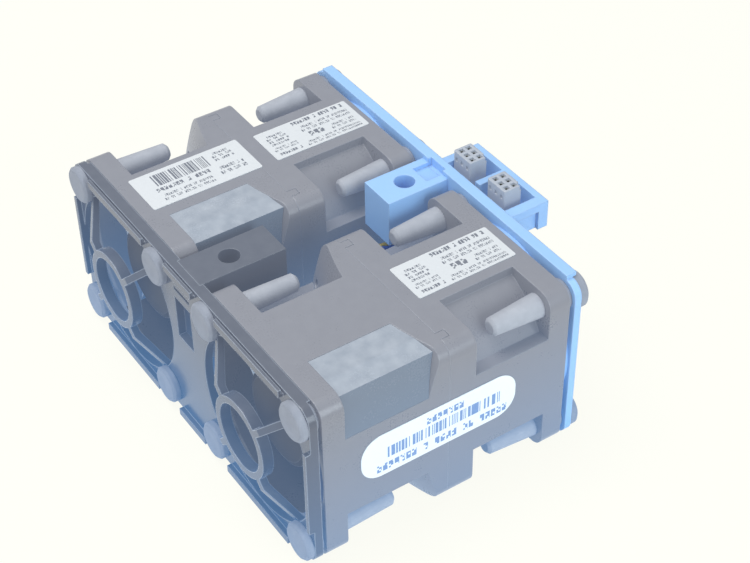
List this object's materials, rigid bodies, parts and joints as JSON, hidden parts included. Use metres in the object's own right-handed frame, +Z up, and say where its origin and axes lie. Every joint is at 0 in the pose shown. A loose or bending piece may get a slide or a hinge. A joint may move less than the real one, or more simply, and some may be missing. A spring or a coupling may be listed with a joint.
{
  "type": "dual server fan module",
  "caption": "Twin counter-rotating cooling fan module with rubber isolators, grille plate, rear plate and two connectors on a shelf",
  "frame": {"origin": "Middle of the front plate's underside, on the plane the module stands on, halfway between the two fans and halfway through the plate's panel.", "axes": "+X across the module towards the right fan seen from the inlet, +Y along the air flow from inlet to outlet, +Z up."},
  "size_m": [0.0917, 0.0759, 0.044],
  "materials": {
    "dark_plastic": "fine moulded grain, dark blue-grey",
    "blue_plastic": "fine moulded grain, light blue",
    "fan_plastic": "glass-filled plastic, slightly glossy, dark grey",
    "rotor_plastic": "smooth dark grey plastic",
    "rubber": "soft satin rubber, blue-grey",
    "bearing_steel": "ground bearing steel",
    "shaft_steel": "ground steel",
    "yoke_steel": "drawn steel cup, zinc plated",
    "magnet": "plastic-bonded ferrite, dull black-brown",
    "lamination_steel": "stacked sheet steel with a thin insulating paint",
    "copper": "enamelled copper wire",
    "board": "green solder mask",
    "film": "thin dark plastic film",
    "connector_plastic": "dark grey moulded connector plastic",
    "contact_metal": "tin-plated contacts",
    "lead_insulation": "cream wire insulation",
    "label_paper": "matt paper label with plain numbers and bars",
    "sticker_film": "pale blue polyester sticker"
  },
  "bodies": {
    "module": {"front_plate": "dark_plastic", "front_tab": "dark_plastic", "rear_plate": "blue_plastic", "rear_block": "blue_plastic", "left_inlet_housing": "fan_plastic", "left_inlet_isolators": "rubber", "left_inlet_bearings": "bearing_steel", "left_inlet_stator_core": "lamination_steel", "left_inlet_windings": "copper", "left_inlet_circuit_board": "board", "left_outlet_housing": "fan_plastic", "left_outlet_isolators": "rubber", "left_outlet_bearings": "bearing_steel", "left_outlet_stator_core": "lamination_steel", "left_outlet_windings": "copper", "left_outlet_circuit_board": "board", "left_corner_film": "film", "left_connector": "connector_plastic", "left_contacts": "contact_metal", "left_lead": "lead_insulation", "right_inlet_housing": "fan_plastic", "right_inlet_isolators": "rubber", "right_inlet_bearings": "bearing_steel", "right_inlet_stator_core": "lamination_steel", "right_inlet_windings": "copper", "right_inlet_circuit_board": "board", "right_outlet_housing": "fan_plastic", "right_outlet_isolators": "rubber", "right_outlet_bearings": "bearing_steel", "right_outlet_stator_core": "lamination_steel", "right_outlet_windings": "copper", "right_outlet_circuit_board": "board", "right_corner_film": "film", "right_connector": "connector_plastic", "right_contacts": "contact_metal", "right_lead": "lead_insulation", "number_label": "label_paper", "left_rating_label": "label_paper", "right_rating_label": "label_paper", "side_sticker": "sticker_film"},
    "left_inlet_rotor": {"left_inlet_impeller": "rotor_plastic", "left_inlet_yoke": "yoke_steel", "left_inlet_magnet": "magnet", "left_inlet_shaft": "shaft_steel", "left_inlet_clip": "shaft_steel"},
    "left_outlet_rotor": {"left_outlet_impeller": "rotor_plastic", "left_outlet_yoke": "yoke_steel", "left_outlet_magnet": "magnet", "left_outlet_shaft": "shaft_steel", "left_outlet_clip": "shaft_steel"},
    "right_inlet_rotor": {"right_inlet_impeller": "rotor_plastic", "right_inlet_yoke": "yoke_steel", "right_inlet_magnet": "magnet", "right_inlet_shaft": "shaft_steel", "right_inlet_clip": "shaft_steel"},
    "right_outlet_rotor": {"right_outlet_impeller": "rotor_plastic", "right_outlet_yoke": "yoke_steel", "right_outlet_magnet": "magnet", "right_outlet_shaft": "shaft_steel", "right_outlet_clip": "shaft_steel"}
  },
  "joints": [
    {"name": "left_inlet_spin", "type": "hinge", "parent": "module", "child": "left_inlet_rotor", "pos_m": [-0.0258, 0.0157, 0.021], "axis": [0, 1, 0], "continuous": true},
    {"name": "left_outlet_spin", "type": "hinge", "parent": "module", "child": "left_outlet_rotor", "pos_m": [-0.0258, 0.0437, 0.021], "axis": [0, -1, 0], "continuous": true},
    {"name": "right_inlet_spin", "type": "hinge", "parent": "module", "child": "right_inlet_rotor", "pos_m": [0.0258, 0.0157, 0.021], "axis": [0, 1, 0], "continuous": true},
    {"name": "right_outlet_spin", "type": "hinge", "parent": "module", "child": "right_outlet_rotor", "pos_m": [0.0258, 0.0437, 0.021], "axis": [0, -1, 0], "continuous": true}
  ]
}
